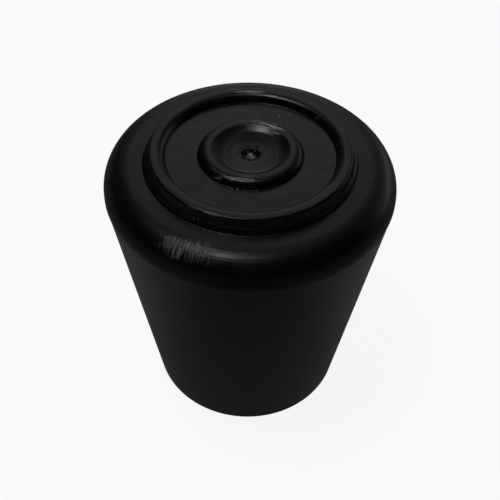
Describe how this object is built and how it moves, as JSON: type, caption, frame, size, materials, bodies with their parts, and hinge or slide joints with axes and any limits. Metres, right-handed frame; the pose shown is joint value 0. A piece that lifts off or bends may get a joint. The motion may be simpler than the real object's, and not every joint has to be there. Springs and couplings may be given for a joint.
{
  "type": "chair leg ferrule",
  "caption": "Push-on foot for a tubular chair leg: a flared rubber cone with a rounded bead, a concentric ring tread and a blind bore.",
  "frame": {"origin": "centre of the rim of the mouth, which is the lowest face", "axes": "+Z along the axis of revolution, from the mouth to the tread"},
  "size_m": [0.038, 0.038, 0.0413],
  "materials": {
    "rubber": "satin moulded black rubber"
  },
  "bodies": {
    "root": {"ferrule": "rubber"}
  },
  "joints": []
}
